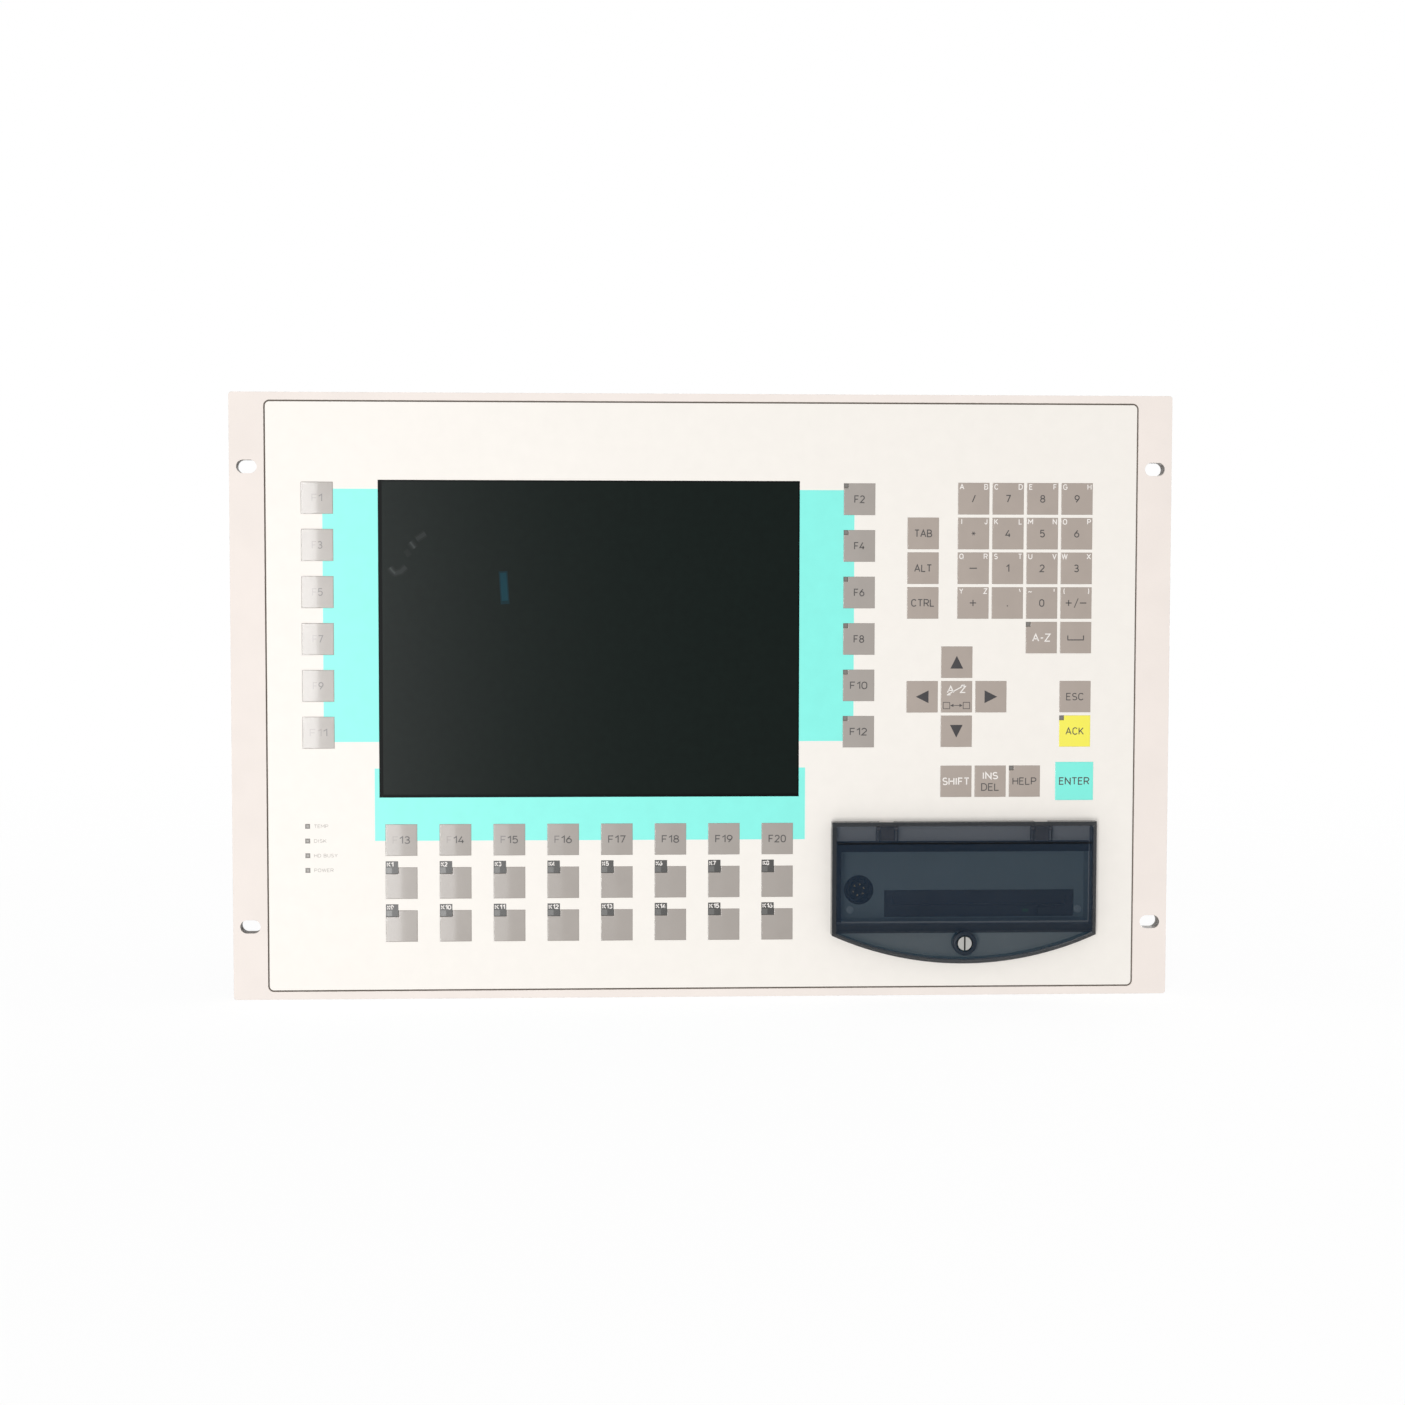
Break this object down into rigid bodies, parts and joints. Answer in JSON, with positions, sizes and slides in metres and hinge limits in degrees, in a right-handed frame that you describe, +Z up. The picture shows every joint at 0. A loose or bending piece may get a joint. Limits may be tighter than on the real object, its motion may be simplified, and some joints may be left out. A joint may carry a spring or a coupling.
{
  "type": "industrial operator panel",
  "caption": "Rack-mounted industrial operator panel with a display, membrane keys, a flap over a disk drive and a socket, and a sheet-metal rear housing.",
  "frame": {"origin": "centre of the four rack slots, on the rear face of the front plate", "axes": "+X right as seen from the front, +Z up, the front looks along -Y and the housing runs along +Y"},
  "size_m": [0.4826, 0.1641, 0.3104],
  "materials": {
    "plate": "cream powder coat over cast aluminium, fine texture",
    "overlay": "cream printed polyester film, fine matt grain, with teal printed fields",
    "circuit": "printed circuit film",
    "dome_steel": "snap dome steel",
    "dark_window": "dark translucent window",
    "screen_glass": "dark screen pane with an anti-glare face",
    "lcd_glass": "display glass",
    "black_frame": "black frame",
    "zinc_sheet": "zinc plated sheet steel",
    "board": "green circuit board",
    "port_metal": "nickel plated shells",
    "foam": "closed-cell foam",
    "screw_steel": "bright plated screws",
    "tray_plastic": "light grey moulding",
    "drive_metal": "dark drive body",
    "drive_plastic": "black moulding",
    "socket_plastic": "black moulding",
    "smoked_plastic": "smoked transparent plastic",
    "pin_steel": "spring steel",
    "key_grey": "grey key pads, semi-gloss, slightly crowned",
    "key_yellow": "yellow key pad",
    "key_teal": "teal key pad"
  },
  "bodies": {
    "panel": {"front_plate": "plate", "overlay_foil": "overlay", "keypad_circuit": "circuit", "snap_domes": "dome_steel", "indicator_windows": "dark_window", "screen_pane": "screen_glass", "lcd_cell": "lcd_glass", "lcd_frame": "black_frame", "display_bracket": "zinc_sheet", "power_board": "board", "main_board": "board", "rear_connectors": "port_metal", "rear_housing": "zinc_sheet", "rear_cover": "zinc_sheet", "panel_gasket": "foam", "screws": "screw_steel", "compartment_tray": "tray_plastic", "disk_drive": "drive_metal", "keyboard_socket": "socket_plastic", "hinge_pins": "pin_steel"},
    "flap": {"flap": "smoked_plastic"},
    "lock_ring": {"screw_ring": "pin_steel"},
    "lock_screw": {"flap_screw": "screw_steel"},
    "eject_button": {"drive_button": "drive_plastic"},
    "dust_door": {"drive_shutter": "drive_plastic"},
    "key_slash": {"key_slash": "key_grey"},
    "key_7": {"key_7": "key_grey"},
    "key_8": {"key_8": "key_grey"},
    "key_9": {"key_9": "key_grey"},
    "key_star": {"key_star": "key_grey"},
    "key_4": {"key_4": "key_grey"},
    "key_5": {"key_5": "key_grey"},
    "key_6": {"key_6": "key_grey"},
    "key_minus": {"key_minus": "key_grey"},
    "key_1": {"key_1": "key_grey"},
    "key_2": {"key_2": "key_grey"},
    "key_3": {"key_3": "key_grey"},
    "key_plus": {"key_plus": "key_grey"},
    "key_point": {"key_point": "key_grey"},
    "key_0": {"key_0": "key_grey"},
    "key_plus_minus": {"key_plus_minus": "key_grey"},
    "key_letters": {"key_letters": "key_grey"},
    "key_space": {"key_space": "key_grey"},
    "key_up": {"key_up": "key_grey"},
    "key_left": {"key_left": "key_grey"},
    "key_centre": {"key_centre": "key_grey"},
    "key_right": {"key_right": "key_grey"},
    "key_down": {"key_down": "key_grey"},
    "key_esc": {"key_esc": "key_grey"},
    "key_ack": {"key_ack": "key_yellow"},
    "key_shift": {"key_shift": "key_grey"},
    "key_ins_del": {"key_ins_del": "key_grey"},
    "key_help": {"key_help": "key_grey"},
    "key_enter": {"key_enter": "key_teal"},
    "keys_tab_alt_ctrl": {"keys_tab_alt_ctrl": "key_grey"},
    "keys_left_column": {"keys_left_column": "key_grey"},
    "keys_right_column": {"keys_right_column": "key_grey"},
    "keys_lower_row": {"keys_lower_row": "key_grey"},
    "keys_upper_k_row": {"keys_upper_k_row": "key_grey"},
    "keys_lower_k_row": {"keys_lower_k_row": "key_grey"}
  },
  "joints": [
    {"name": "key_slash_press", "type": "slide", "parent": "panel", "child": "key_slash", "axis": [0, 1, 0], "range_m": [0, 0.0006], "stiffness_N_per_m": 1000},
    {"name": "key_7_press", "type": "slide", "parent": "panel", "child": "key_7", "axis": [0, 1, 0], "range_m": [0, 0.0006], "stiffness_N_per_m": 1000},
    {"name": "key_8_press", "type": "slide", "parent": "panel", "child": "key_8", "axis": [0, 1, 0], "range_m": [0, 0.0006], "stiffness_N_per_m": 1000},
    {"name": "key_9_press", "type": "slide", "parent": "panel", "child": "key_9", "axis": [0, 1, 0], "range_m": [0, 0.0006], "stiffness_N_per_m": 1000},
    {"name": "key_star_press", "type": "slide", "parent": "panel", "child": "key_star", "axis": [0, 1, 0], "range_m": [0, 0.0006], "stiffness_N_per_m": 1000},
    {"name": "key_4_press", "type": "slide", "parent": "panel", "child": "key_4", "axis": [0, 1, 0], "range_m": [0, 0.0006], "stiffness_N_per_m": 1000},
    {"name": "key_5_press", "type": "slide", "parent": "panel", "child": "key_5", "axis": [0, 1, 0], "range_m": [0, 0.0006], "stiffness_N_per_m": 1000},
    {"name": "key_6_press", "type": "slide", "parent": "panel", "child": "key_6", "axis": [0, 1, 0], "range_m": [0, 0.0006], "stiffness_N_per_m": 1000},
    {"name": "key_minus_press", "type": "slide", "parent": "panel", "child": "key_minus", "axis": [0, 1, 0], "range_m": [0, 0.0006], "stiffness_N_per_m": 1000},
    {"name": "key_1_press", "type": "slide", "parent": "panel", "child": "key_1", "axis": [0, 1, 0], "range_m": [0, 0.0006], "stiffness_N_per_m": 1000},
    {"name": "key_2_press", "type": "slide", "parent": "panel", "child": "key_2", "axis": [0, 1, 0], "range_m": [0, 0.0006], "stiffness_N_per_m": 1000},
    {"name": "key_3_press", "type": "slide", "parent": "panel", "child": "key_3", "axis": [0, 1, 0], "range_m": [0, 0.0006], "stiffness_N_per_m": 1000},
    {"name": "key_plus_press", "type": "slide", "parent": "panel", "child": "key_plus", "axis": [0, 1, 0], "range_m": [0, 0.0006], "stiffness_N_per_m": 1000},
    {"name": "key_point_press", "type": "slide", "parent": "panel", "child": "key_point", "axis": [0, 1, 0], "range_m": [0, 0.0006], "stiffness_N_per_m": 1000},
    {"name": "key_0_press", "type": "slide", "parent": "panel", "child": "key_0", "axis": [0, 1, 0], "range_m": [0, 0.0006], "stiffness_N_per_m": 1000},
    {"name": "key_plus_minus_press", "type": "slide", "parent": "panel", "child": "key_plus_minus", "axis": [0, 1, 0], "range_m": [0, 0.0006], "stiffness_N_per_m": 1000},
    {"name": "key_letters_press", "type": "slide", "parent": "panel", "child": "key_letters", "axis": [0, 1, 0], "range_m": [0, 0.0006], "stiffness_N_per_m": 1000},
    {"name": "key_space_press", "type": "slide", "parent": "panel", "child": "key_space", "axis": [0, 1, 0], "range_m": [0, 0.0006], "stiffness_N_per_m": 1000},
    {"name": "key_up_press", "type": "slide", "parent": "panel", "child": "key_up", "axis": [0, 1, 0], "range_m": [0, 0.0006], "stiffness_N_per_m": 1000},
    {"name": "key_left_press", "type": "slide", "parent": "panel", "child": "key_left", "axis": [0, 1, 0], "range_m": [0, 0.0006], "stiffness_N_per_m": 1000},
    {"name": "key_centre_press", "type": "slide", "parent": "panel", "child": "key_centre", "axis": [0, 1, 0], "range_m": [0, 0.0006], "stiffness_N_per_m": 1000},
    {"name": "key_right_press", "type": "slide", "parent": "panel", "child": "key_right", "axis": [0, 1, 0], "range_m": [0, 0.0006], "stiffness_N_per_m": 1000},
    {"name": "key_down_press", "type": "slide", "parent": "panel", "child": "key_down", "axis": [0, 1, 0], "range_m": [0, 0.0006], "stiffness_N_per_m": 1000},
    {"name": "key_esc_press", "type": "slide", "parent": "panel", "child": "key_esc", "axis": [0, 1, 0], "range_m": [0, 0.0006], "stiffness_N_per_m": 1000},
    {"name": "key_ack_press", "type": "slide", "parent": "panel", "child": "key_ack", "axis": [0, 1, 0], "range_m": [0, 0.0006], "stiffness_N_per_m": 1000},
    {"name": "key_shift_press", "type": "slide", "parent": "panel", "child": "key_shift", "axis": [0, 1, 0], "range_m": [0, 0.0006], "stiffness_N_per_m": 1000},
    {"name": "key_ins_del_press", "type": "slide", "parent": "panel", "child": "key_ins_del", "axis": [0, 1, 0], "range_m": [0, 0.0006], "stiffness_N_per_m": 1000},
    {"name": "key_help_press", "type": "slide", "parent": "panel", "child": "key_help", "axis": [0, 1, 0], "range_m": [0, 0.0006], "stiffness_N_per_m": 1000},
    {"name": "key_enter_press", "type": "slide", "parent": "panel", "child": "key_enter", "axis": [0, 1, 0], "range_m": [0, 0.0006], "stiffness_N_per_m": 1000},
    {"name": "keys_tab_alt_ctrl_press", "type": "slide", "parent": "panel", "child": "keys_tab_alt_ctrl", "axis": [0, 1, 0], "range_m": [0, 0.0006], "stiffness_N_per_m": 1000},
    {"name": "keys_left_column_press", "type": "slide", "parent": "panel", "child": "keys_left_column", "axis": [0, 1, 0], "range_m": [0, 0.0006], "stiffness_N_per_m": 1000},
    {"name": "keys_right_column_press", "type": "slide", "parent": "panel", "child": "keys_right_column", "axis": [0, 1, 0], "range_m": [0, 0.0006], "stiffness_N_per_m": 1000},
    {"name": "keys_lower_row_press", "type": "slide", "parent": "panel", "child": "keys_lower_row", "axis": [0, 1, 0], "range_m": [0, 0.0006], "stiffness_N_per_m": 1000},
    {"name": "keys_upper_k_row_press", "type": "slide", "parent": "panel", "child": "keys_upper_k_row", "axis": [0, 1, 0], "range_m": [0, 0.0006], "stiffness_N_per_m": 1000},
    {"name": "keys_lower_k_row_press", "type": "slide", "parent": "panel", "child": "keys_lower_k_row", "axis": [0, 1, 0], "range_m": [0, 0.0006], "stiffness_N_per_m": 1000},
    {"name": "flap_hinge", "type": "hinge", "parent": "panel", "child": "flap", "pos_m": [0.1342, -0.0142, -0.0675], "axis": [-1, 0, 0], "range_deg": [0, 110]},
    {"name": "lock_lift", "type": "slide", "parent": "flap", "child": "lock_ring", "axis": [0, -1, 0], "range_m": [0, 0.0028]},
    {"name": "lock_turn", "type": "hinge", "parent": "lock_ring", "child": "lock_screw", "pos_m": [0.1342, -0.0185, -0.1268], "axis": [0, -1, 0], "range_deg": [0, 1440]},
    {"name": "eject_press", "type": "slide", "parent": "panel", "child": "eject_button", "axis": [0, 1, 0], "range_m": [0, 0.0025], "stiffness_N_per_m": 500},
    {"name": "dust_door_swing", "type": "hinge", "parent": "panel", "child": "dust_door", "pos_m": [0.145, 0.00465, -0.10455], "axis": [1, 0, 0], "range_deg": [0, 85], "stiffness_Nm_per_rad": 0.002}
  ],
  "couplings": [
    {"joint": "lock_turn", "follows": "lock_lift", "rad_per_m": 8975.9}
  ]
}
